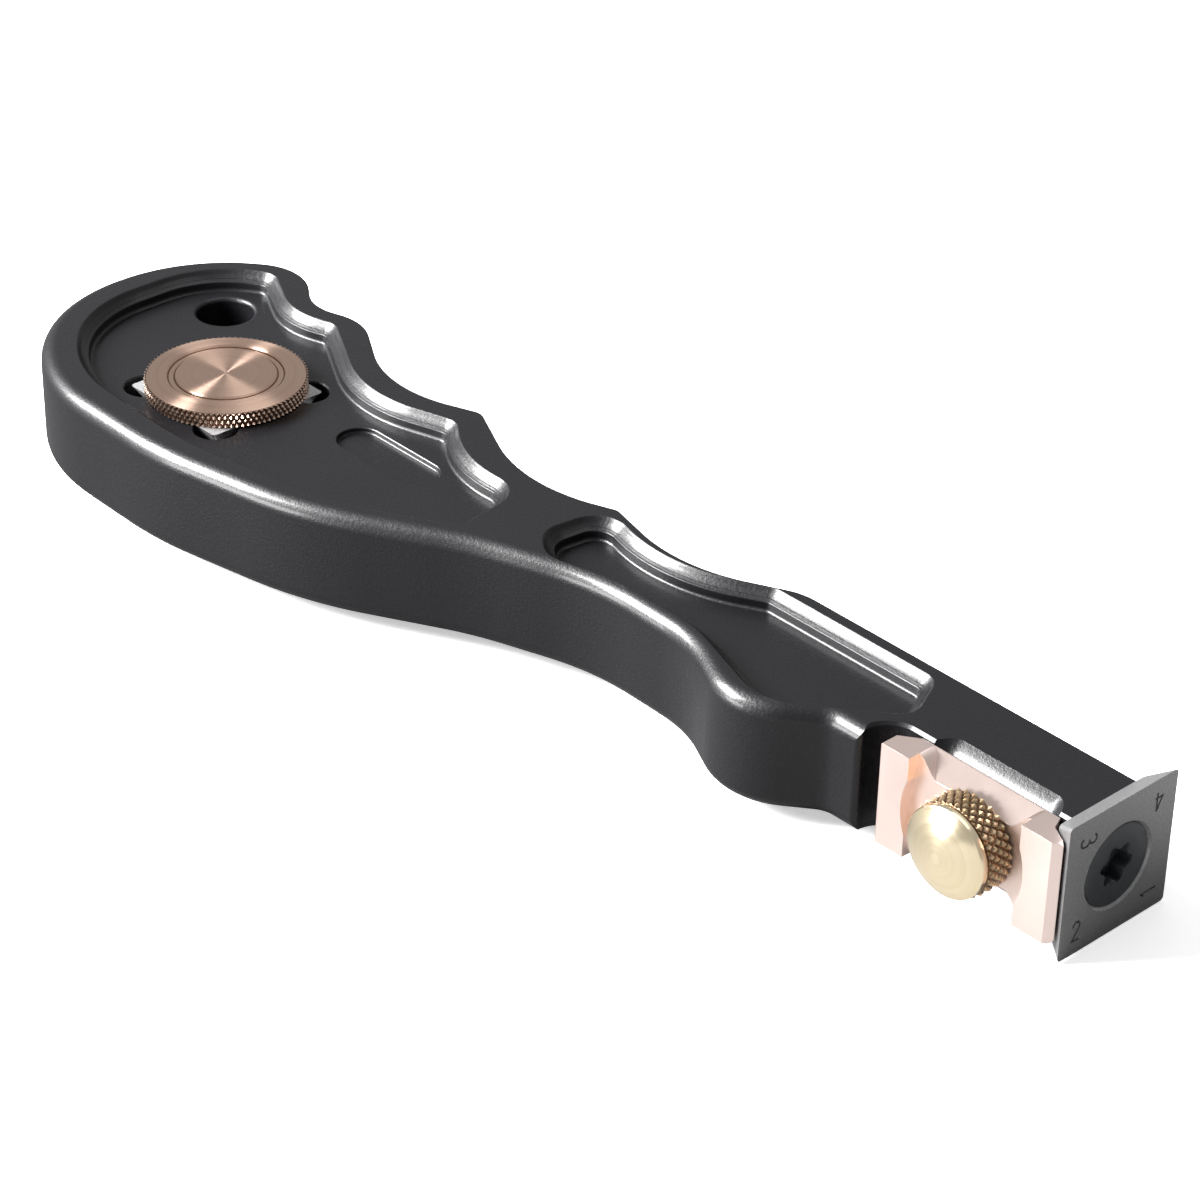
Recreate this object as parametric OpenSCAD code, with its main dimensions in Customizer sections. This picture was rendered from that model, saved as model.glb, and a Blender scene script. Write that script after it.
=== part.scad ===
// Carbide scraper: a flat contoured handle with a square carbide insert on its end, a sliding
// edge fence locked by a thumb screw, and spare inserts under a knurled knob in the palm.
// +X runs along the handle towards the insert, +Z is up with the tool lying on its side.
// The origin is the middle of the face that the cutting insert seats on.

/* [Handle] */
// Distance from the face that the insert seats on to the hanging hole's axis
reach = 131.9; // [118:0.1:146]
// Thickness of the handle
handle_t = 12.1; // [11.6:0.1:15]
// Radius of the rounded edge along the grip side and the palm
grip_edge_r = 1.8; // [0.8:0.1:2.4]
// Radius of the small edge along the scalloped back and the head
back_edge_r = 0.4; // [0.2:0.1:0.8]
// Radius of the hanging hole
hang_r = 3.25; // [2.5:0.05:3.8]
// Chamfer at the mouths of the hanging hole
hang_chamfer = 0.5; // [0.2:0.1:0.8]

/* [Dished faces] */
// Depth of the dished floors below the top face
dish_depth = 2.2; // [1.6:0.1:2.6]
// Width of the sloping band at the top of a dish's wall
band_w = 1.3; // [0.8:0.1:1.6]
// Drop of the sloping band
band_drop = 1.1; // [0.6:0.1:1.3]
// Radius between a dish's wall and its floor
floor_r = 0.4; // [0.2:0.1:0.5]
// Depth of the bare label recess in the palm's floor
label_depth = 0.6; // [0.3:0.1:1]

/* [Insert] */
// Side of the square insert's cutting face
insert_w = 15; // [14:0.1:15.4]
// Thickness of the insert
insert_t = 2.5; // [2:0.1:3]
// Clearance angle ground on the four sides
insert_bevel = 30; // [25:1:35]
// Radius of the hole through the insert
insert_hole_r = 2.9; // [2.7:0.05:3.2]
// Radius of the countersink on the cutting face
insert_sink_r = 4.65; // [4.4:0.05:5]

/* [Insert screw] */
// Thread radius of the insert screw and of the storage knob's stud
m5_r = 2.5; // [2.3:0.1:2.5]
// Reach of the insert screw into the handle
insert_screw_l = 6.3; // [5:0.1:6.5]
// Width across the points of the six-lobed socket
socket_w = 4.5; // [4:0.1:4.6]

/* [Fence] */
// Length of the fence along the handle
fence_l = 22.2; // [21:0.1:23]
// Half height of the fence at its two lands
fence_h2 = 5.65; // [5.2:0.05:5.9]
// Half height of the fence between the lands
waist_h2 = 3.65; // [3.2:0.05:4]
// How far the fence's outer face stands out beyond the insert's edge
fence_proud = 0.7; // [0.5:0.05:1.1]
// Depth of the channel between the lands
channel_d = 1.4; // [1:0.1:1.7]
// Travel of the fence back from where it stands
fence_back = 1.5; // [0.5:0.1:1.5]
// Travel of the fence forward from where it stands
fence_fwd = 0.4; // [0.1:0.1:0.4]

/* [Thumb screw] */
// Radius of the thumb screw's knurled head
thumb_r = 5.1; // [4.6:0.05:5.2]
// Length of the knurled band
thumb_band = 3.6; // [3:0.1:5]
// Height of the domed end
thumb_dome = 1.5; // [1:0.1:2]
// Thread radius of the thumb screw
m4_r = 2; // [1.8:0.1:2]

/* [Storage knob] */
// Radius of the storage knob
knob_r = 9.05; // [8.6:0.05:9.6]
// Thickness of the storage knob's disc
knob_t = 2; // [1.6:0.1:3]

/* [Fits] */
// Radial clearance of a screw in its thread
thread_fit = 0.05; // [0.02:0.01:0.1]
// Clearance between sliding faces
slide_fit = 0.05; // [0.02:0.01:0.1]
// Clearance round a spare insert in its pocket
pocket_fit = 0.15; // [0.1:0.05:0.3]

/* [Hidden] */
$fn = 96;
eps = 0.01;

// heights of the handle's faces, and of the dished floor
top_z = handle_t / 2;
floor_z = top_z - dish_depth;

// The outlines are drawn against the distance back from the insert's seat. The head keeps its
// size. What lies behind it is placed by shares of the length from the head to the hanging hole.
head_l = 45;
function back(share) = head_l + share * (reach - head_l);

// lengths that the head's pieces share, measured back from the seat
bump_d = 22.54;
fence_front_d = -1.8;
fence_back_d = fence_front_d + fence_l;
fence_y = insert_w / 2 + fence_proud;
thumb_d = 9.3;
// the wall that the fence slides on, and the bevel along its edges: width, and end stations
wall_y = -4.65;
bevel_w = 1.85;
bevel_d1 = 2.2;
bevel_d2 = 16.1;
// where the hanging hole stands across the handle
hang_y = 0.5;

// middle of the storage pocket, and the corner reliefs round its square
store_d = back(0.8304);
store_y = -10.64;
relief_r = 2.4;
relief_at = (insert_w / 2 + pocket_fit) - 1.36;
// underside of the storage knob, on the upper spare insert
store_top = floor_z + 0.05;
store_z = store_top - 2 * insert_t;

// middle line of the bare label recess
label_y = -6.65;

// Outline of the handle: each corner is [d, y, radius of the corner, radius of the edge].
G = grip_edge_r;
B = back_edge_r;
OUTLINE = [
    [-2, 4.85, 0, B], [43.3, 4.85, 7, B], [back(0.1151), -1.1, 20, B],
    [back(0.2566), 1.9, 1.5, B], [back(0.3763), -2.3, 20, B], [back(0.5409), 4.7, 1.8, B],
    [back(0.6686), 0.3, 16, B], [back(0.8239), 8.6, 7, B], [back(0.901), 6.3, 6, B],
    [back(0.9977), 12.1, 7, B], [back(1.13), 2.5, 18.7, (G + B) / 2],
    [back(1.1381), -16, 19.2, G], [back(0.9747), -26.9, 23.6, G], [back(0.7376), -27.2, 46, G],
    [back(0.5075), -23.2, 47, G], [back(0.3176), -13.9, 39, G], [back(0.1634), -9.2, 30, G],
    [back(0.0023), -9.5, 17, G], [34.2, -15, 9, G], [26.5, -8.8, 2.5, G], [-2, -8.6, 0, G],
];

// Outlines of the two dished faces, at the top of their walls
PALM_DISH = [
    [back(0.3648), -3, 4], [back(0.4718), -3.4, 15], [back(0.5432), 1.4, 0.8],
    [back(0.6789), -2.3, 16], [back(0.8412), 5.6, 0.8], [back(0.9068), 3.7, 9],
    [back(1.0058), 8.2, 1.2], [back(1.0898), 3.5, 13.5], [back(1.0921), -13.8, 15.5],
    [back(0.9609), -22.9, 20], [back(0.7192), -23.6, 44], [back(0.4914), -19.9, 44],
    [back(0.3487), -12.6, 2.5],
];
NECK_DISH = [
    [23.7, 3.35, 2.5], [back(0.0092), 3.35, 1], [back(0.1266), -2.2, 20],
    [back(0.2267), 0.3, 1], [back(0.2704), 0.4, 3.4], [back(0.2808), -7, 4],
    [back(0.2359), -10, 4], [back(0.1438), -7.9, 25], [back(0.0115), -7.7, 16],
    [32.1, -12.3, 7], [20.8, -2.8, 2.5],
];

// The recess beside the insert, from the bump to the end of the head
FENCE_RECESS = [[bump_d, -12, 0], [bump_d, wall_y, 3.4], [-3, wall_y, 0], [-3, -12, 0]];

function unit(v) = v / norm(v);
function wrap(a) = a - 360 * floor((a + 180) / 360);
function turn(a, b, c) = cross(b - a, c - b);
function total(v, i = 0) = i == len(v) ? 0 : v[i] + total(v, i + 1);
function way_round(v) = sign(total([for (i = [0:len(v) - 1]) cross(v[i], v[(i + 1) % len(v)])]));
function arc_steps(sweep, r, step) = max(2, ceil(sweep / 24), ceil(sweep * r * PI / 180 / step));

// One corner b between a and c, moved in by k and rounded by an arc tangent to its two sides.
// The arc keeps the number of steps that it has unmoved, so that the rings of an outline match.
function corner(a, b, c, r, k, z, step) =
    let (u = unit(a - b), w = unit(c - b), bend = unit(u + w),
         half = acos(max(-1, min(1, u * w))) / 2,
         out = turn(a, b, c) > 0 ? 1 : -1,
         mid = b + bend * out * k / sin(half))
    r == 0 ? [[mid.x, mid.y, z]] :
    let (rk = max(0.05, r - out * k),
         o = mid + bend * rk / sin(half),
         p = mid + u * rk / tan(half) - o,
         q = mid + w * rk / tan(half) - o,
         a0 = atan2(p.y, p.x),
         sweep = wrap(atan2(q.y, q.x) - a0),
         n = arc_steps(180 - 2 * half, r, step))
    [for (i = [0:n]) [o.x + rk * cos(a0 + sweep * i / n), o.y + rk * sin(a0 + sweep * i / n), z]];

// One ring of an outline. A level is [share of the edge radius to move in by, length to move in
// by, height, share of the edge radius to add to the height].
function ring(list, level, step) =
    let (n = len(list), v = [for (p = list) [-p[0], p[1]]], way = way_round(v))
    [for (j = [0:n - 1])
        let (i = way > 0 ? j : n - 1 - j, e = len(list[i]) > 3 ? list[i][3] : 0)
        each corner(v[(i + n - way) % n], v[i], v[(i + n + way) % n], list[i][2],
                    level[1] + level[0] * e, level[2] + level[3] * e, step)];

// A solid lofted through the rings of one outline, from the lowest level to the highest
module loft(list, levels, step) {
    rings = [for (l = levels) ring(list, l, step)];
    n = len(rings[0]);
    m = len(levels);
    sides = [for (j = [0:m - 2], i = [0:n - 1], h = [0, 1])
        let (a = j * n + i, b = j * n + (i + 1) % n)
        h == 0 ? [a, a + n, b + n] : [a, b + n, b]];
    polyhedron([for (r = rings) each r],
        concat([[for (i = [0:n - 1]) i]], sides, [[for (i = [n - 1:-1:0]) (m - 1) * n + i]]),
        convexity = 10);
}

// levels of a body whose edges are quarter rounds
edge_steps = [90, 66, 42, 20, 0];
body_levels = concat(
    [for (a = edge_steps) [1 - cos(a), 0, -top_z, 1 - sin(a)]],
    [for (i = [4:-1:0]) let (a = edge_steps[i]) [1 - cos(a), 0, top_z, sin(a) - 1]]);

// levels of a dish: floor, small radius, upright step, sloping hollow band, and clear of the top
dish_levels = [
    [0, band_w + floor_r, floor_z, 0],
    [0, band_w + floor_r * 0.3, floor_z + floor_r * 0.3, 0],
    [0, band_w, floor_z + floor_r, 0],
    [0, band_w, top_z - band_drop, 0],
    [0, band_w * 0.42, top_z - band_drop * 0.66, 0],
    [0, 0, top_z, 0],
    [0, 0, top_z + 1, 0],
];

// levels of a cut right through the handle, with its top and bottom edges eased
ease = 0.3;
through_levels = [
    [0, -ease, -top_z - 1, 0], [0, -ease, -top_z, 0], [0, 0, -top_z + ease, 0],
    [0, 0, top_z - ease, 0], [0, -ease, top_z, 0], [0, -ease, top_z + 1, 0],
];

// Takes its pieces as one mesh, so that the lofts and the cuts between them are worked out once.
module as_one_mesh() {
    resize([0, 0, 0]) children();
}

module at_store() {
    translate([-store_d, store_y, 0]) children();
}

module at_thumb() {
    translate([-thumb_d, 0, 0]) rotate([90, 0, 0]) children();
}

// square pocket for the spare inserts, with round reliefs at its corners
module storage_pocket() {
    side = insert_w + 2 * pocket_fit;
    translate([-side / 2, -side / 2, store_z]) cube([side, side, 2 * insert_t + 3]);
    for (x = [-1, 1], y = [-1, 1])
        translate([x * relief_at, y * relief_at, store_z]) cylinder(h = 2 * insert_t + 3, r = relief_r);
    translate([0, 0, -top_z + 0.9]) cylinder(h = top_z, r = m5_r);
}

// recess for a label, left bare
module label_recess() {
    label_r = 2.5;
    x0 = label_r - back(0.6502);
    x1 = -back(0.4833) - label_r;
    translate([0, label_y, floor_z - label_depth]) linear_extrude(height = 2) {
        translate([x0, -label_r]) square([x1 - x0, 2 * label_r]);
        translate([x0, 0]) circle(r = label_r);
        translate([x1, 0]) circle(r = label_r);
    }
}

// A trough along X: a section in Y and Z, and a side view in X and Z that slopes its two ends
module trough(section, side) {
    intersection() {
        translate([-60, 0, 0]) rotate([90, 0, 90]) linear_extrude(height = 120) polygon(section);
        translate([0, 30, 0]) rotate([90, 0, 0]) linear_extrude(height = 60) polygon(side);
    }
}

// the bevel along one edge of the wall that the fence slides on
module wall_bevel() {
    low = top_z - bevel_w;
    trough([[wall_y - 1, low - 1], [wall_y + bevel_w + 1, top_z + 1], [wall_y - 1, top_z + 1]],
           [[-bevel_d2 + 1, low - 1], [-bevel_d1 - 1, low - 1], [-bevel_d1 + 0.9, top_z + 1],
            [-bevel_d2 - 0.9, top_z + 1]]);
}

// the bore in which a hook or a peg goes, with a chamfer at both mouths
module hanging_hole() {
    wide = hang_r + hang_chamfer + 1;
    translate([0, 0, -top_z - 1]) cylinder(h = handle_t + 2, r = hang_r);
    translate([0, 0, floor_z - hang_chamfer]) cylinder(h = hang_chamfer + 1, r1 = hang_r, r2 = wide);
    translate([0, 0, -top_z - 1]) cylinder(h = hang_chamfer + 1, r1 = wide, r2 = hang_r);
}

module handle() {
    color("#26262a")
    difference() {
        as_one_mesh() difference() {
            loft(OUTLINE, body_levels, 2.6);
            loft(PALM_DISH, dish_levels, 2.8);
            loft(NECK_DISH, dish_levels, 2.8);
            loft(FENCE_RECESS, through_levels, 1);
            // flat face that the insert seats on
            translate([0, -20, -20]) cube([10, 40, 40]);
            wall_bevel();
            mirror([0, 0, 1]) wall_bevel();
        }
        translate([-reach, hang_y, 0]) hanging_hole();
        at_store() storage_pocket();
        label_recess();
        // thread for the insert screw
        translate([-insert_screw_l - 0.4, 0, 0]) rotate([0, 90, 0]) cylinder(h = 20, r = m5_r);
        // thread for the thumb screw
        at_thumb() translate([0, 0, -3.3]) cylinder(h = 12, r = m4_r);
    }
}

// The insert lies on its back face in XY, cutting face up. Its sides are ground at an angle.
module insert_blank() {
    w = insert_w / 2;
    b = w - insert_t * tan(insert_bevel);
    nick = 0.35;
    intersection() {
        ground_bar(w, b);
        rotate([0, 0, 90]) ground_bar(w, b);
        rotate([0, 0, 45]) ground_bar(w * sqrt(2) - nick, b * sqrt(2) - nick);
        rotate([0, 0, 135]) ground_bar(w * sqrt(2) - nick, b * sqrt(2) - nick);
    }
}

// long bar whose section is the insert's side view
module ground_bar(w, b) {
    rotate([90, 0, 0]) linear_extrude(height = 4 * w, center = true)
        polygon([[-b, 0], [b, 0], [w, insert_t], [-w, insert_t]]);
}

module insert() {
    sink = insert_sink_r - insert_hole_r;
    difference() {
        insert_blank();
        translate([0, 0, -1]) cylinder(h = insert_t + 2, r = insert_hole_r);
        translate([0, 0, insert_t - sink])
            cylinder(h = sink + eps, r1 = insert_hole_r, r2 = insert_sink_r + eps);
    }
}

module cutting_insert() {
    color("#77777a") rotate([90, 0, 90]) insert();
}

module spare_insert(place) {
    color("#808083") at_store() translate([0, 0, store_z + place * insert_t]) insert();
}

// six-lobed socket: a round core with six lobes, and six flutes between them
module six_lobes(width) {
    difference() {
        union() {
            circle(r = width * 0.38);
            for (a = [0:60:300]) rotate(a) translate([width * 0.38, 0]) circle(r = width * 0.12, $fn = 32);
        }
        for (a = [30:60:330]) rotate(a) translate([width * 0.52, 0]) circle(r = width * 0.17, $fn = 32);
    }
}

// The head's cone lies in the insert's countersink, and the head stands a little below the face.
module insert_screw() {
    head_top = insert_t - 0.15;
    shank_r = m5_r - thread_fit;
    sink_z = insert_t - (insert_sink_r - insert_hole_r);
    cone_z = sink_z - (insert_hole_r - shank_r) + slide_fit;
    cone_h = head_top - cone_z;
    color("#1c1d1f") rotate([90, 0, 90]) difference() {
        union() {
            translate([0, 0, cone_z]) cylinder(h = cone_h, r1 = shank_r, r2 = shank_r + cone_h);
            translate([0, 0, -insert_screw_l])
                cylinder(h = insert_screw_l + head_top - 0.1, r = shank_r);
        }
        translate([0, 0, head_top - 1.7]) linear_extrude(height = 3) six_lobes(socket_w);
    }
}

// Everything of the fence is drawn about the thumb screw's axis.
fence_x0 = thumb_d - fence_back_d;
fence_x1 = thumb_d - fence_front_d;
// the channel between the lands lies a little back of the screw, which stands in a slot
land_x = 7;
channel_x = -0.3;

// side view: the outer corners are eased
module fence_side() {
    nip = 0.35;
    polygon([[fence_x0, -fence_h2 + nip], [fence_x0 + nip, -fence_h2], [fence_x1 - nip, -fence_h2],
             [fence_x1, -fence_h2 + nip], [fence_x1, fence_h2 - nip], [fence_x1 - nip, fence_h2],
             [fence_x0 + nip, fence_h2], [fence_x0, fence_h2 - nip]]);
}

// plan: the nose beside the insert follows its ground side, and the rear corner is cut away
module fence_plan() {
    rear = wall_y - slide_fit;
    nose_gap = 0.3;
    function beside(x) = -insert_w / 2 + (thumb_d + insert_t - x) * tan(insert_bevel) - nose_gap;
    polygon([
        [fence_x0 + 0.3, -fence_y], [fence_x1 - 0.6, -fence_y], [fence_x1, -fence_y + 0.6],
        [fence_x1, beside(fence_x1)], [thumb_d - 0.4, beside(thumb_d - 0.4)], [thumb_d - 1, rear],
        [fence_x0 + 2.4, rear], [fence_x0 + 0.3, rear - 1.5], [fence_x0, rear - 2],
        [fence_x0, -fence_y + 0.3],
    ]);
}

// the scoop above the thumb screw: it slopes at 45 degrees from the channel up to the wall
module fence_scoop() {
    floor_y = -fence_y + channel_d;
    rise = fence_h2 - waist_h2;
    trough([[floor_y - 2, waist_h2 - 2], [floor_y + 4, waist_h2 + 4], [floor_y - 2, waist_h2 + 4]],
           [[channel_x - land_x + rise + 2, waist_h2 - 2], [channel_x + land_x - rise - 2, waist_h2 - 2],
            [channel_x + land_x + 2, fence_h2 + 2], [channel_x - land_x - 2, fence_h2 + 2]]);
}

module fence() {
    slot_r = m4_r + 0.1;
    color("#c79c84") translate([-thumb_d, 0, 0])
    difference() {
        intersection() {
            rotate([90, 0, 0]) linear_extrude(height = 12) fence_side();
            translate([0, 0, -10]) linear_extrude(height = 20) fence_plan();
        }
        // channel for the thumb screw's head, wider round its knurl
        translate([channel_x - land_x, -fence_y - 1, -10]) cube([2 * land_x, 1 + channel_d, 20]);
        translate([channel_x, 0, 0]) rotate([90, 0, 0])
            translate([0, 0, fence_y - channel_d]) cylinder(h = 5, r = land_x + 0.65);
        fence_scoop();
        mirror([0, 0, 1]) fence_scoop();
        // slot for the thumb screw's shank
        rotate([90, 0, 0]) {
            translate([-fence_fwd, 0, 0]) cylinder(h = 20, r = slot_r);
            translate([fence_back, 0, 0]) cylinder(h = 20, r = slot_r);
            translate([-fence_fwd, -slot_r, 0]) cube([fence_fwd + fence_back, 2 * slot_r, 20]);
        }
    }
}

// Band of a knurled head, with both rims eased
module band(r, h, rim) {
    rotate_extrude() polygon([[0, 0], [r - rim, 0], [r, rim], [r, h - rim], [r - rim, h], [0, h]]);
}

// where the thumb screw's head seats on the fence, and how deep its stud goes into it
head_seat = fence_y - channel_d + slide_fit;
head_bore = 3;

module thumb_screw_head() {
    dome_base = thumb_r - 0.15;
    dome_r = (dome_base * dome_base + thumb_dome * thumb_dome) / (2 * thumb_dome);
    color("#c9a06a") at_thumb() translate([0, 0, head_seat]) difference() {
        union() {
            band(thumb_r, thumb_band, 0.25);
            intersection() {
                translate([0, 0, thumb_band - eps]) cylinder(h = thumb_dome + 1, r = dome_base);
                translate([0, 0, thumb_band + thumb_dome - dome_r]) sphere(r = dome_r, $fn = 128);
            }
        }
        translate([0, 0, -1]) cylinder(h = head_bore + 1, r = m4_r);
    }
}

module thumb_screw_stud() {
    color("#8c8c8e") at_thumb()
        translate([0, 0, -3]) cylinder(h = head_seat + head_bore + 3 - 0.05, r = m4_r - thread_fit);
}

// the storage knob's stud stops short of the disc's top by this much
knob_skin = 0.6;

module storage_knob() {
    groove_r = 6.2;
    color("#c79680") at_store() translate([0, 0, store_top]) difference() {
        band(knob_r, knob_t, 0.2);
        translate([0, 0, knob_t - 0.35]) difference() {
            cylinder(h = 2, r = groove_r + 0.5);
            translate([0, 0, -1]) cylinder(h = 4, r = groove_r - 0.5);
        }
        translate([0, 0, -1]) cylinder(h = knob_t - knob_skin + 1, r = m5_r);
    }
}

module storage_knob_stud() {
    low = -top_z + 1.3;
    color("#8c8c8e") at_store()
        translate([0, 0, low])
            cylinder(h = store_top + knob_t - knob_skin - 0.05 - low, r = m5_r - thread_fit);
}

module spare_insert_upper() spare_insert(1);
module spare_insert_lower() spare_insert(0);

handle();
cutting_insert();
insert_screw();
fence();
thumb_screw_head();
thumb_screw_stud();
storage_knob();
storage_knob_stud();
spare_insert_upper();
spare_insert_lower();
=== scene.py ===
import math

import bmesh
import bpy
import numpy as np
from bpy.props import FloatProperty, IntProperty, PointerProperty
from mathutils import Matrix, Vector


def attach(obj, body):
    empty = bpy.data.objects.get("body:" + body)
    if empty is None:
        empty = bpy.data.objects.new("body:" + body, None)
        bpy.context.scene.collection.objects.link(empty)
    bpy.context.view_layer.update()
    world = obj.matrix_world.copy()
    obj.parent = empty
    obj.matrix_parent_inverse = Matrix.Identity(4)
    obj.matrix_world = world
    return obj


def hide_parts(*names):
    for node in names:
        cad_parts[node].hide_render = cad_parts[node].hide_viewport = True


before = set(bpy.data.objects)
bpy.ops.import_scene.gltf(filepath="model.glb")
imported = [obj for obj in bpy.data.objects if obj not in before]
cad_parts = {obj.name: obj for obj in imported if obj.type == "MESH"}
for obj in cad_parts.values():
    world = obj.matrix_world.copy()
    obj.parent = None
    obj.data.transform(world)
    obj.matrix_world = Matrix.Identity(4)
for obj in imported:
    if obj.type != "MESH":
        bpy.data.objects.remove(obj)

bl_info = {
    "name": "Carbide Scraper",
    "version": (1, 0, 0),
    "blender": (4, 5, 0),
    "location": "3D View > Sidebar > Scraper",
    "description": "Builds a hand scraper with a square insert, a sliding fence and spare inserts",
    "category": "Object",
}

MM = 0.001
TAU = 2 * math.pi
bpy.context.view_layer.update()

ON_AXIS = 1e-6  # a profile's point with a smaller radius is on the axis
ARC_TURN = 6.0  # longest turn between two points of an arc, in degrees
LEAST_ARC_R = 0.04  # left of a corner's radius where the ring is moved in past it

# Turns of a piece built upright, as rows: its axis comes to x, to -y or stays.
TO_FACE = [(0, 0, 1), (1, 0, 0), (0, 1, 0)]
TO_FRONT = [(1, 0, 0), (0, 0, -1), (0, 1, 0)]
UPRIGHT = [(1, 0, 0), (0, 1, 0), (0, 0, 1)]

# Sizes that several pieces share, in millimetres, in the frame of the CAD part.
HANDLE_T = 12.1
TOP_Z = HANDLE_T / 2
DISH_DEPTH = 2.2
FLOOR_Z = TOP_Z - DISH_DEPTH
GRIP_EDGE = 1.8
BACK_EDGE = 0.4
INSERT_HALF = 7.5
INSERT_T = 2.5
INSERT_REAR = INSERT_HALF - INSERT_T * math.tan(math.radians(30))
INSERT_HOLE_R = 2.9
INSERT_SINK_R = 4.65
WALL_Y = -4.65
BUMP_X = -22.54
THUMB_X = -9.3
THUMB_PITCH = 0.7
SLIDE_BACK = 1.5
SLIDE_FORWARD = 0.4
FENCE_Y = -8.2
CHANNEL_Y = -6.8
STORE = (-117.16, -10.64)
STORE_TOP = FLOOR_Z + 0.05
STORE_Z = STORE_TOP - 2 * INSERT_T
STORE_PITCH = 0.8
POCKET_HALF = 7.65
RELIEF_OUT = 6.29
HANG = (-131.9, 0.5)
HANG_R = 3.25
KNOB_R = 9.05
THUMB_R = 5.1
M4_R = 2.0
M5_R = 2.5
HEAD_SEAT = -CHANNEL_Y + 0.05

# Stations through the holes and recesses of the handle's flat faces.
HOLE_STATIONS = (-130.7, -117.1, -94, -60, -45, -30)

MID_EDGE = (GRIP_EDGE + BACK_EDGE) / 2

# Each corner is x, y, its radius and, in OUTLINE, the radius of the handle's edge beside it.
OUTLINE = [
    (2, 4.85, 0, BACK_EDGE), (-43.3, 4.85, 7, BACK_EDGE), (-55, -1.1, 20, BACK_EDGE),
    (-67.3, 1.9, 1.5, BACK_EDGE), (-77.7, -2.3, 20, BACK_EDGE), (-92, 4.7, 1.8, BACK_EDGE),
    (-103.1, 0.3, 16, BACK_EDGE), (-116.6, 8.6, 7, BACK_EDGE), (-123.3, 6.3, 6, BACK_EDGE),
    (-131.7, 12.1, 7, BACK_EDGE), (-143.2, 2.5, 18.7, MID_EDGE), (-143.9, -16, 19.2, GRIP_EDGE),
    (-129.7, -26.9, 23.6, GRIP_EDGE), (-109.1, -27.2, 46, GRIP_EDGE), (-89.1, -23.2, 47, GRIP_EDGE),
    (-72.6, -13.9, 39, GRIP_EDGE), (-59.2, -9.2, 30, GRIP_EDGE), (-45.2, -9.5, 17, GRIP_EDGE),
    (-34.2, -15, 9, GRIP_EDGE), (-26.5, -8.8, 2.5, GRIP_EDGE), (2, -8.6, 0, GRIP_EDGE),
]
PALM_DISH = [
    (-76.7, -3, 4), (-86, -3.4, 15), (-92.2, 1.4, 2.6), (-104, -2.3, 16), (-118.1, 5.6, 2.6),
    (-123.8, 3.7, 9), (-132.4, 8.2, 2.8), (-139.7, 3.5, 12), (-139.9, -13.8, 15.5),
    (-128.5, -22.9, 20), (-107.5, -23.6, 44), (-87.7, -19.9, 44), (-75.3, -12.6, 2.5),
]
NECK_DISH = [
    (-23.7, 3.35, 2.5), (-45.8, 3.35, 2.4), (-56, -2.2, 20), (-64.7, 0.3, 2.2), (-68.5, 0.4, 3.4),
    (-69.4, -7, 4), (-65.5, -10, 4), (-57.5, -7.9, 25), (-46, -7.7, 16), (-32.1, -12.3, 7),
    (-20.8, -2.8, 2.5),
]
FENCE_RECESS = [
    (-25.5, -8.84, 0), (-25.5, -12, 0), (3, -12, 0), (3, WALL_Y, 0), (BUMP_X, WALL_Y, 3.2),
    (BUMP_X, -8.75, 0.75),
]


# Outlines and meshes


def unit(v):
    """v divided by its length."""
    return v / np.linalg.norm(v)


def corner_arc(a, b, c, radius, move, step):
    """Points of corner b between a and c, moved in by move and rounded.

    The corner slides along its bisector by move / sin(half), where half is half the angle
    between its sides, and the arc of radius r = radius - move (or + move where the corner is
    hollow) is centred r / sin(half) from it. The number of points is that of the unmoved arc.
    """
    u, w = unit(a - b), unit(c - b)
    bend = unit(u + w)
    half = math.acos(np.clip(u @ w, -1, 1)) / 2
    out = 1 if (b - a)[0] * (c - b)[1] - (b - a)[1] * (c - b)[0] > 0 else -1
    mid = b + bend * out * move / math.sin(half)
    if radius == 0:
        return mid[None, :]
    r = max(LEAST_ARC_R, radius - out * move)
    centre = mid + bend * r / math.sin(half)
    p, q = mid + u * r / math.tan(half) - centre, mid + w * r / math.tan(half) - centre
    start = math.atan2(p[1], p[0])
    sweep = (math.atan2(q[1], q[0]) - start + math.pi) % TAU - math.pi
    open_angle = math.pi - 2 * half
    by_turn, by_step = math.degrees(open_angle) / ARC_TURN, open_angle * radius / step
    n = max(3, math.ceil(by_turn), math.ceil(by_step))
    angle = start + sweep * np.linspace(0, 1, n + 1)
    return centre + r * np.stack([np.cos(angle), np.sin(angle)], 1)


def corner_arcs(corners, move, step):
    """The arcs of an outline's corners in turn, anticlockwise from above, moved in by move."""
    v = np.array([c[:2] for c in corners], float)
    nxt = np.roll(v, -1, 0)
    if (v[:, 0] * nxt[:, 1] - v[:, 1] * nxt[:, 0]).sum() < 0:
        corners, v = corners[::-1], v[::-1]
    arcs = [corner_arc(v[i - 1], v[i], v[(i + 1) % len(v)], c[2], move, step)
            for i, c in enumerate(corners)]
    return corners, arcs


def ring(corners, move, z, step):
    """One closed ring of an outline as points x, y, z, moved in by move and at height z."""
    points = np.vstack(corner_arcs(corners, move, step)[1])
    return np.column_stack([points, np.full(len(points), z)])


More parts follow.
